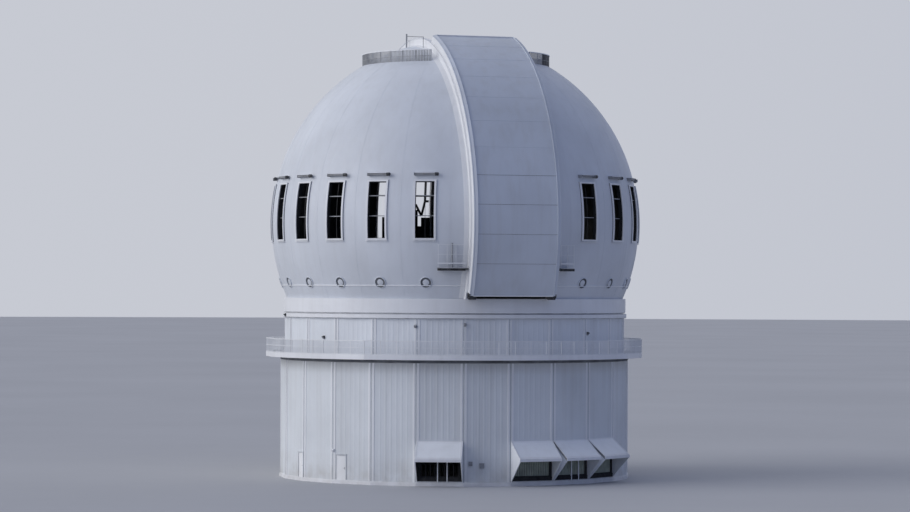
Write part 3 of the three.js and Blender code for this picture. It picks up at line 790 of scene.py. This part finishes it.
def gore_keys(r, rise, lo, hi, vents):
    """Angles of a row's ends and of the sides of its vents, which narrow towards the ports."""
    left = max(lo, slit_angle(r, rise))
    right = min(hi, 180 - slit_angle(r, rise))
    half = PORT_HOLE_HALF
    if rise > PORT_HOLE[1]:
        share = min(1, (rise - PORT_HOLE[1]) / (VENT_HOLE[0] - PORT_HOLE[1]))
        half += (VENT_HOLE_HALF - PORT_HOLE_HALF) * share
    keys = [left]
    for vent in vents:
        side = arcsin(half / (r * cos(rise)))
        keys += [vent - side, vent + side]
    return [*keys, right]


def gore_grid(r, lo, hi, vents, counts):
    """Rows of points up a gore. Above the vents each row keeps the shares of the vents' top row."""
    rises = gore_rises(r, lo, hi)
    top_row = sum(RISE_COUNTS[:4])
    held = gore_keys(r, rises[top_row], lo, hi, vents)
    shares = [(k - held[0]) / (held[-1] - held[0]) for k in held]
    grid = []
    for i, rise in enumerate(rises):
        keys = gore_keys(r, rise, lo, hi, vents)
        if i > top_row:
            keys = [keys[0] + (keys[-1] - keys[0]) * s for s in shares]
        p = (r * cos(rise), BALL_Z + r * sin(rise))
        grid.append([on_round(p, a) for a in cut(keys, counts)])
    return grid


def gore(name, sign, side, lo, hi):
    """One panel of the shell between two angles, mirrored for the left half."""
    vents = [a for a in VENT_ANGLES if lo < a < hi]
    keys = gore_keys(BALL_R, VENT_HOLE[1], lo, hi, vents)
    counts = [max(2, round((b - a) / GORE_STEP)) for a, b in zip(keys, keys[1:])]
    outer, inner = (gore_grid(r, lo, hi, vents, counts) for r in (BALL_R, BALL_R - SHELL_T))
    if sign < 0:
        outer, inner = ([[(-x, y, z) for x, y, z in row] for row in grid] for grid in (outer, inner))
    holes = set()
    for v in range(len(vents)):
        first = sum(counts[:2 * v + 1])
        holes.update(range(first, first + counts[2 * v + 1]))
    _, port_low, port_high, vent_low, vent_high = (sum(RISE_COUNTS[:k]) for k in range(5))

    def present(i, j):
        return not (j in holes and (port_low <= i < port_high or vent_low <= i < vent_high))
    piece = Piece(f"shell_{side}_{name}", "dome", "dome_paint", dome_paint)
    piece.skins(outer, inner, present)
    piece.make(replaces=[f"dome_panel_{side}_{name}"])


SEAMS = spread(19.5, 154.5, 15)
SEAM_HALF, SEAM_OUT = 0.05, 0.006
DRIP_Z, DRIP_OUT = 16.55, 0.06
for sign, side in HALVES:
    for name, (lo, hi) in PANELS.items():
        gore(name, sign, side, lo, hi)
    seams = Piece(f"shell_seams_{side}", "dome", "dome_paint", dome_paint, dome_trim)
    under, over = BALL_R - SINK, BALL_R + SEAM_OUT
    strip = [(-SEAM_HALF, under), (-SEAM_HALF, over), (SEAM_HALF, over), (SEAM_HALF, under)]
    foot = ball_rise(RING_TOP + 0.02)
    for a in SEAMS:
        last = arccos(min(1, (SLIT_X + 0.06) / (BALL_R * sin(a))))
        seams.sweep(strip, spread(foot, last, GORE_STEP), on_gore(sign * a))
    r = ball_out(DRIP_Z - BALL_Z)
    start = arcsin((SLIT_X + 0.02) / r)
    edge = r + DRIP_OUT
    drip = [(r - 0.04, DRIP_Z), (edge, DRIP_Z), (edge, DRIP_Z + 0.06), (r, DRIP_Z + 0.10)]
    seams.sweep(drip, spread(sign * start, sign * (180 - start), RING_STEP), on_round, 1)
    seams.make()


# Vents: a curved frame with thin bars, the drum of the roll-up door above, the port below

FRAME_STEP = 1.2


def arc(r, low, high):
    return [(r * cos(a), BALL_Z + r * sin(a)) for a in spread(low, high, FRAME_STEP)]


def curved(piece, angle, t, rises, radii, kind):
    outline = arc(radii[1], *rises) + arc(radii[0], *rises)[::-1]
    piece.sweep(outline, t, on_side(angle), kind)


DRUM_OUT, DRUM_Z, DRUM_R, DRUM_FROM, DRUM_TO = 15.78, 25.80, 0.075, -0.88, 0.82
MOTOR_R, MOTOR_FROM, MOTOR_TO, PLATE_HALF = 0.14, 0.84, 1.15, 0.12
PLATE_DEPTH, COVER_DEPTH = (15.42, DRUM_OUT + 0.11), (15.45, DRUM_OUT + 0.10)
REVEAL_R, FRAME_IN_R, FRAME_R, FRAME_RISE = 15.65, 16.01, 16.09, 0.5
MULLION_HALF, MULLION_RADII = 0.012, (15.70, 15.74)
BAR_HEIGHTS, VENT_BAR_HALF, VENT_BAR_OUT = (22.35, 24.02), 0.035, (15.70, 15.76)
SILL_OUT, SILL_Z = (15.60, 16.02), (20.26, 20.30)
PORT_RISE = ball_rise(PORT_Z)
PORT_BACK, PORT_SEAT, PORT_GLASS_R, PORT_EDGE_R = 15.72, 15.9, 0.27, 0.45
PORT_RINGS = (
    ([(PORT_EDGE_R, PORT_SEAT), (PORT_R, PORT_SEAT), (PORT_R, 16.06), (PORT_EDGE_R, 16.08),
      (PORT_EDGE_R, PORT_SEAT)], 0),
    ([(PORT_GLASS_R, PORT_BACK), (PORT_HOLE_HALF, PORT_BACK), (PORT_HOLE_HALF, PORT_SEAT),
      (PORT_EDGE_R, PORT_SEAT), (PORT_EDGE_R, 16.02), (PORT_GLASS_R, 16.01)], 1),
    ([(0, PORT_BACK), (PORT_GLASS_R, PORT_BACK), (PORT_GLASS_R, 16.03), (0.2, 16.05), (0, 16.06)], 0),
)
vent_finishes = (dome_trim, shade_lining, steel_grey, dark_metal)
inner = VENT_HALF - VENT_BAR
low, high = VENT_RISES
clear = (low + FRAME_RISE, high - FRAME_RISE)
for sign, side in HALVES:
    for vent in VENT_ANGLES:
        angle = sign * vent
        along = on_side(angle)
        casing = Piece(f"vent_{side}_{vent}", "dome", "dome_paint", *vent_finishes)
        # The reveal inside each frame (kind 1) is near-black: painted shade of the opening.
        for radii, kind in (((FRAME_IN_R, FRAME_R), 0), ((REVEAL_R, FRAME_IN_R), 1)):
            for t in each_way(inner, VENT_HALF):
                curved(casing, angle, t, (low, high), radii, kind)
            for rises in ((low, clear[0]), (clear[1], high)):
                curved(casing, angle, about(0, inner), rises, radii, kind)
        curved(casing, angle, about(0, MULLION_HALF), clear, MULLION_RADII, 3)
        for z in BAR_HEIGHTS:
            casing.block(angle, about(0, inner), VENT_BAR_OUT, about(z, VENT_BAR_HALF), 2)
        casing.block(angle, about(0, VENT_HALF + 0.05), SILL_OUT, SILL_Z)
        casing.make()
        drum = Piece(f"door_drum_{side}_{vent}", "dome", "grating", dark_metal, steel_grey, dome_trim)

        def about_drum(x, y, t, along=along):
            return along((DRUM_OUT + x, DRUM_Z + y), t)
        drum.lathe(rect(0, DRUM_R, DRUM_FROM, DRUM_TO), about_drum, kind=1)
        motor = [(0, MOTOR_FROM), (MOTOR_R, MOTOR_FROM), (MOTOR_R, MOTOR_TO - 0.05),
                 (MOTOR_R - 0.04, MOTOR_TO), (0, MOTOR_TO)]
        drum.lathe(motor, about_drum)
        for t in ((DRUM_FROM - 0.04, DRUM_FROM), (MOTOR_FROM - 0.04, MOTOR_FROM)):
            drum.block(angle, t, PLATE_DEPTH, about(DRUM_Z, PLATE_HALF), 1)
        cover = (DRUM_Z + PLATE_HALF - 0.02, DRUM_Z + PLATE_HALF)
        drum.block(angle, (DRUM_FROM, MOTOR_FROM - 0.04), COVER_DEPTH, cover, 2)
        drum.make()
        port = Piece(f"port_{side}_{vent}", "dome", "dome_paint", dome_paint, port_grey)

        def about_port(x, y, r, along=along):
            up = BALL_Z + r * sin(PORT_RISE) + y * cos(PORT_RISE)
            return along((r * cos(PORT_RISE) - y * sin(PORT_RISE), up), x)
        # The second ring, a sunk annulus, is dark grey: painted shade in the port's recess.
        for profile, kind in PORT_RINGS:
            port.lathe(profile, about_port, 32, kind)
        port.make()


# Arched girders, the fixed strip behind the slit, and its opening

ARCH_FINE = 1.25
EDGE_X, FLANGE_W = 4.20, 0.07
arch_low = RING_TOP + GAP
arch_foot = ball_rise(arch_low, ARCH_IN_R)


def on_web(p, rise):
    """As on_arch, cut level on top of the foot ring."""
    x, y, z = on_arch(p, rise)
    return (x, y, max(z, arch_low))


for way, side in HALVES:
    girder = Piece(f"girder_{side}", "dome", "dome_paint", arch_paint)
    x0, x1 = sorted((way * ARCH_IN_X, way * ARCH_OUT_X))
    girder.sweep(rect(ARCH_IN_R, ARCH_R, x0, x1), spread(arch_foot, 180 - arch_foot, ARCH_FINE), on_web)
    flange = rect(ARCH_R - 0.05, ARCH_R - 0.002, way * ARCH_OUT_X, way * (ARCH_OUT_X + FLANGE_W))
    girder.sweep(flange, spread(arch_foot + 1, 179 - arch_foot, ARCH_FINE), on_arch)
    near, far = ball_out(SLIT_X), ball_out(EDGE_X)
    edge = [(near - 0.03, way * SLIT_X), (near + 0.03, way * SLIT_X),
            (far + 0.014, way * EDGE_X), (far - 0.03, way * EDGE_X)]
    edge_foot = ball_rise(RING_TOP + 0.03, near)
    girder.sweep(edge, spread(edge_foot, 180 - edge_foot, ARCH_FINE), on_arch)
    girder.make(replaces=[f"arch_girder_{side}"])

STRIP_HALF = ARCH_IN_X - GAP
COURSE, BACK_SEAMS, SHUTTER_SEAMS = 8.35, 13, 11  # degrees from seam to seam, and their numbers
strip_end = 180 - ball_rise(RING_TOP)
hole_rises = [180 - ball_rise(REAR_TOP), 180 - ball_rise(REAR_LOW)]
marks = [BACK_FROM, *hole_rises, strip_end]
strip_rises = [BACK_FROM]
strip_rows = [0]
for a, b in zip(marks, marks[1:]):
    strip_rises += spread(a, b, ARCH_FINE)[1:]
    strip_rows.append(len(strip_rises) - 1)
beside_hole, hole_across = spread(-STRIP_HALF, -REAR_HALF, 0.3), spread(-REAR_HALF, REAR_HALF, 0.4)
across = beside_hole[:-1] + hole_across + [-x for x in reversed(beside_hole[:-1])]
open_from = len(beside_hole) - 1
open_to = open_from + len(hole_across) - 1


def strip_grid(r):
    return [[on_arch((ball_out(x, r), x), rise) for x in across] for rise in strip_rises]


def strip_present(i, j):
    return not (strip_rows[1] <= i < strip_rows[2] and open_from <= j < open_to)


strip = Piece("back_strip", "dome", "dome_paint", dome_paint)
strip.skins(strip_grid(BALL_R), strip_grid(BALL_R - SHELL_T), strip_present)
strip.make(replaces=["dome_back_strip"])


def on_back(p, rise):
    """Points (x, height over the ball) carried down the back by the rise."""
    return on_arch((ball_out(p[0]) + p[1], p[0]), rise)


REAR_BAR_HALF, JAMB_IN, JAMB_OUT = 0.08, -0.36, 0.06
rear = Piece("rear_opening_frame", "dome", "dome_paint", dome_trim, dark_metal)
for way in (-1, 1):
    jamb = rect(way * (REAR_HALF - REAR_BAR_HALF), way * (REAR_HALF + REAR_BAR_HALF), JAMB_IN, JAMB_OUT)
    rear.sweep(jamb, spread(*hole_rises, ARCH_FINE), on_back)
for z in (REAR_LOW, REAR_TOP):
    out = ball_out(z - BALL_Z)
    rear.block(180, about(0, REAR_HALF + 0.1), (out - 0.42, out + 0.02), about(z, REAR_BAR_HALF))

# Behind the opening: a transom, a short block, a stepped screen of (x from, x to, top) and braces
TRANSOM_Z, BLOCK_X, BLOCK_Z = 24.87, (-2.40, -1.98), (24.30, 24.50)
SCREEN_Y, BRACE_R = 15.46, 0.11
SCREENS = ((-2.06, -1.2, 22.9), (-1.2, 1.68, 22.1), (1.68, REAR_HALF, 22.9), (0.9, 1.36, 23.6))
BRACES = (((1.16, 24.1), (1.72, 23.05)), ((1.72, 23.05), (2.06, 24.4)), ((2.06, 24.4), (2.14, REAR_TOP)))
rear.block(180, about(0, REAR_HALF), about(SCREEN_Y, 0.06), about(TRANSOM_Z, 0.06), 1)
rear.block(180, BLOCK_X, about(SCREEN_Y, 0.08), BLOCK_Z, 1)
for x0, x1, top in SCREENS:
    rear.block(180, (-x1, -x0), about(SCREEN_Y, 0.02), (REAR_LOW, top), 1)
for (x0, z0), (x1, z1) in BRACES:
    rear.tube(((x0, SCREEN_Y, z0), (x1, SCREEN_Y, z1)), BRACE_R, kind=1)
rear.make()

seams = Piece("back_strip_seams", "dome", "dome_paint", dome_trim)
for rise in spread(BACK_FROM + COURSE, BACK_FROM + BACK_SEAMS * COURSE, COURSE):
    if hole_rises[0] - 1 < rise < hole_rises[1] + 1:
        continue

    def lap(p, x, rise=rise):
        return on_arch((ball_out(x) + p[0], x), rise + p[1])
    outline = [(-SINK, -0.15), (0.022, -0.15), (0.008, 0.15), (-SINK, 0.15)]
    seams.sweep(outline, spread(-STRIP_HALF + 0.02, STRIP_HALF - 0.02, 0.3), lap)
seams.make()


# Shutter: lapped courses set a little below two edge bands, with shoes at the foot and a near-black seal
# that paints the shadow under its lower edge

foot_rise, head_rise = SHUTTER_RISES
course_rises = [foot_rise + 1 + COURSE * i for i in range(1, SHUTTER_SEAMS + 1)]
LEAF_R, LEAF_X, LAP = SHUTTER_R - 0.07, ARCH_OUT_X - 0.03, 0.01
edges = [foot_rise, *course_rises, head_rise]
stations = []
for a, b in zip(edges, edges[1:]):
    stations += [(rise, -LAP * (rise - a) / (b - a)) for rise in spread(a, b, ARCH_FINE)[:-1]]
    stations.append((b - 0.02, -LAP))
stations.append((head_rise, -LAP))


def on_shutter(p, station):
    """Points (r, x) at a station of (rise, lap). Only the outer face follows the laps."""
    r = p[0] + station[1] if p[0] == LEAF_R else p[0]
    return on_arch((r, p[1]), station[0])


leaf = Piece("shutter_leaf", "shutter", "shutter_paint", shutter_paint)
back_r = SHUTTER_R - SHUTTER_T
leaf.sweep([(LEAF_R, -LEAF_X), (LEAF_R, LEAF_X), (back_r, LEAF_X), (back_r, -LEAF_X)], stations, on_shutter)
leaf.make(replaces=["shutter"], sharp=12)

cheek_finishes = (shutter_trim, dark_metal, joint_and_shade_grey, shutter_paint)
cheeks = Piece("shutter_cheeks", "shutter", "shutter_paint", *cheek_finishes)
fine = spread(foot_rise, head_rise, ARCH_FINE)
cheek_low, shoulder = ARCH_R + 0.012, SHUTTER_R - 0.12
SHOE_IN_R, SHOE_LENGTH, RIM_IN_R, SEAL_IN_R, SEAL_R = 16.32, 1.1, 16.56, 16.60, 16.84
for way in (-1, 1):
    x_in, x_out, x_rim = way * ARCH_IN_X, way * ARCH_OUT_X, way * (ARCH_OUT_X + 0.05)
    x_skin = way * (ARCH_OUT_X - 0.02)
    band = [(cheek_low, x_in), (cheek_low, x_skin), (shoulder, x_skin), (SHUTTER_R + 0.02, x_in)]
    cheeks.sweep(band, fine, on_arch, 3)
    cheeks.sweep(rect(cheek_low, shoulder, x_skin, x_out), fine, on_arch)
    cheeks.sweep(rect(cheek_low + 0.06, cheek_low + 0.14, x_out, x_rim), fine, on_arch)
    # Two dark shoes at the foot, the lower one reaching further in
    for rise, reach, shoe_r in ((0.4, 0, 16.88), (-0.3, 0.35, 16.74)):
        shoe = rect(SHOE_IN_R, shoe_r, *sorted((x_in - way * reach, x_out)))
        cheeks.sweep(shoe, (foot_rise - SHOE_LENGTH + rise, foot_rise + rise), on_arch, 1)
# Grey joints under the four lowest courses: painted shadow under the laps, which face down.
lower_joint = rect(LEAF_R - 0.03, LEAF_R + 0.002, -ARCH_IN_X, ARCH_IN_X)
for rise in course_rises[:4]:
    cheeks.sweep(lower_joint, about(rise, 0.05), on_arch, 2)
rim = rect(RIM_IN_R, SHUTTER_R + 0.005, -ARCH_IN_X, ARCH_IN_X)
for rise in SHUTTER_RISES:
    cheeks.sweep(rim, about(rise, 0.15), on_arch)
# A near-black seal across the foot: painted shadow under the shutter's lower edge.
seal = rect(SEAL_IN_R, SEAL_R, -ARCH_IN_X, ARCH_IN_X)
cheeks.sweep(seal, (foot_rise - 0.35, foot_rise - 0.1), on_arch, 1)
cheeks.make()


# Platforms beside the slit: a dark edge beam painted as the shadow under the platform, grating and light
# rails

STAGE_STEP, STAGE_RAIL, STAGE_EDGE, STAGE_RIM = 0.9, 20.0, STAGE_R - 0.06, 0.03
BEARER_STEP, BEARER_HALF, STAGE_POST_STEP, STAGE_POST_HALF = 0.35, 0.006, 2.6, 0.018
TONGUE_ANGLE, TONGUE_IN_R, POLE_ANGLE, POLE_R = 13.95, 15.75, -18.7, 0.075
STAGE_BARS = ((STAGE_TOP + 0.34, 0.09), (STAGE_TOP + 1.1, 0.025), (STAGE_RAIL - 0.03, 0.03))
for side, (a, b) in STAGES.items():
    stage = Piece(f"stage_{side}", "dome", "grating", grating, pale_steel, dark_metal, dome_trim)
    steps = spread(a, b, STAGE_STEP)
    stage.sweep(rect(STAGE_IN_R, STAGE_R, STAGE_LOW + 0.04, STAGE_TOP - 0.02), steps, on_round)
    # The edge beam is near-black: painted shadow of the platform's underside.
    stage.sweep(rect(STAGE_EDGE, STAGE_R, STAGE_LOW, STAGE_TOP - STAGE_RIM), steps, on_round, 2)
    near = b if side == "left" else a
    tongue = sorted((near, math.copysign(TONGUE_ANGLE, near)))
    stage.sweep(rect(TONGUE_IN_R, STAGE_R, STAGE_LOW + 0.04, STAGE_TOP), tongue, on_round)
    rim = rect(STAGE_EDGE, STAGE_R + 0.01, STAGE_TOP - STAGE_RIM, STAGE_TOP + STAGE_RIM)
    stage.sweep(rim, steps, on_round, 1)
    out, height = (STAGE_IN_R + 0.05, STAGE_EDGE), (STAGE_TOP - 0.02, STAGE_TOP + 0.012)
    for angle in spread(a + 0.2, b - 0.2, BEARER_STEP):
        stage.block(angle, about(0, BEARER_HALF), out, height, 1)
    out, height = (STAGE_R - 0.05, STAGE_R), (STAGE_TOP + STAGE_RIM, STAGE_RAIL)
    for angle in spread(a + 0.2, b - 0.2, STAGE_POST_STEP):
        stage.block(angle, about(0, STAGE_POST_HALF), out, height, 3)
    for z, high in STAGE_BARS:
        stage.sweep(rect(STAGE_R - 0.045, STAGE_R - 0.005, z, z + high), steps, on_round, 3)
    stage.make(replaces=[f"platform_{side}"])

pole = Piece("platform_pole", "dome", "grating", steel_grey)
ends = [on_round((STAGE_R - 0.12, z), POLE_ANGLE) for z in (STAGE_TOP - 0.02, STAGE_RAIL + 0.1)]
pole.tube(ends, POLE_R)
pole.make()


# Guard round the crown: thin bars between rails, on posts. Beside it a handrail on the left girder

GUARD_SHADED = (48, 84)  # on the right half, bars between these angles are wider and painted dark as shade
LOW_RAIL, MIDDLE_RAIL = (GUARD_LOW, GUARD_LOW + 0.08), (36.12, 36.16)
HEAD_RAIL = (GUARD_TOP - 0.07, GUARD_TOP)
GUARD_IN, GUARD_MIDDLE = GUARD_R - 0.08, GUARD_R - 0.04
GUARD_BAR_STEP, GUARD_POST_STEP = 1, 9.5
for sign, side in HALVES:
    guard = Piece(f"guard_{side}", "dome", "dome_paint", steel_grey, dome_trim, dark_metal)
    ends = [sign * a for a in GUARD_ENDS]
    steps = spread(*ends, RING_STEP)
    guard.sweep(rect(GUARD_IN, GUARD_R, *LOW_RAIL), steps, on_round)
    guard.sweep(rect(GUARD_IN, GUARD_R + 0.01, *HEAD_RAIL), steps, on_round, 1)
    guard.sweep(rect(*about(GUARD_MIDDLE, 0.02), *MIDDLE_RAIL), steps, on_round)
    for a in spread(*ends, GUARD_BAR_STEP):
        # On the right half these bars are painted dark: painted shade on the side away from the light.
        bar_half, kind = (0.06, 2) if GUARD_SHADED[0] < a < GUARD_SHADED[1] else (0.038, 0)
        height = (LOW_RAIL[1], HEAD_RAIL[0])
        guard.block(a, about(0, bar_half), about(GUARD_MIDDLE, 0.01), height, kind)
    for a in spread(*ends, GUARD_POST_STEP):
        post = (GUARD_LOW - 0.1, GUARD_TOP - 0.02)
        guard.block(a, about(0, 0.05), (GUARD_IN - 0.08, GUARD_IN), post, 1)
    guard.make(replaces=[f"crown_guard_{side}"])

# The handrail's two posts and its bar: (y, z) of both ends, and the radius
RAIL_X, RAIL_Y0, RAIL_Y1 = -4.05, 1.5, -3.4
RAIL_BARS = (((RAIL_Y0, 37.3), (RAIL_Y0, 38.62), 0.07), ((RAIL_Y1, 36.9), (RAIL_Y1, 38.02), 0.03),
             ((RAIL_Y0, 38.42), (RAIL_Y1, 38.0), 0.035))
top_rail = Piece("arch_top_rail", "dome", "dome_paint", steel_grey)
for (y0, z0), (y1, z1), r in RAIL_BARS:
    top_rail.tube(((RAIL_X, y0, z0), (RAIL_X, y1, z1)), r)
top_rail.make()


# Floor, light and camera

def pale_floor():
    n = Nodes(bpy.data.materials.new("pale_floor"))
    tone = n.mix(n.fade(n.noise(0.02, 3), 0.3, 0.7), (0.45, 0.455, 0.475), (0.49, 0.495, 0.515))
    return n.finish(tone, n.fade(n.noise(0.3, 2), 0.3, 0.7, (0.85, 0.95)), [(n.noise(4, 2), 0.001)])


FLOOR_R = 1500
mesh = bpy.data.meshes.new("studio_floor")
rim = [(FLOOR_R * cos(a), FLOOR_R * sin(a), 0) for a in range(0, 360, 5)]
mesh.from_pydata(rim, [], [tuple(range(len(rim)))])
mesh.materials.append(pale_floor())
add_object("studio_floor", mesh)


def towards(azimuth, elevation):
    return Vector(on_round((cos(elevation), sin(elevation)), azimuth))


KEY_FROM, PALE_SKY = (-94, 16), (-150, 10)  # azimuth and elevation
key_light = bpy.data.lights.new("key_light", "SUN")
key_light.energy, key_light.color, key_light.angle = 1.6, (1.0, 0.99, 0.985), math.radians(60)
key = add_object("key_light", key_light)
key.rotation_mode = "QUATERNION"
key.rotation_quaternion = towards(*KEY_FROM).to_track_quat("Z", "Y")


def dusk_sky():
    """A soft surround, pale on the lit side and behind, a deeper blue on the other."""
    n = Nodes(bpy.data.worlds.new("studio"), "Generated")
    turned = n.add("ShaderNodeVectorMath", operation="DOT_PRODUCT")
    turned.inputs[1].default_value = towards(*PALE_SKY)
    n.link(n.coords, turned.inputs[0])
    share = n.fade(turned.outputs["Value"], -0.7, 0.8, ease="SMOOTHSTEP")
    tone = n.mix(share, (0.17, 0.215, 0.36), (0.57, 0.59, 0.65))
    n.link(tone, n.tree.nodes["Background"].inputs["Color"])
    return n.owner


scene.world = dusk_sky()

EYE_DISTANCE, EYE_HEIGHT, EYE_ANGLE, EYE_ROLL, AIM = 276.25, 16.3, -17.9, 0.23, Vector((0, 0, 19.2))
camera = bpy.data.cameras.new("photo_view")
camera.lens, camera.clip_end = 125, 5000
eye = add_object("photo_view", camera)
eye.location = on_round((EYE_DISTANCE, EYE_HEIGHT), EYE_ANGLE)
eye.rotation_mode = "QUATERNION"
level = (AIM - Vector(eye.location)).to_track_quat("-Z", "Y")
eye.rotation_quaternion = level @ Quaternion((0, 0, 1), math.radians(EYE_ROLL))
scene.camera = eye
scene.view_settings.view_transform = "Standard"
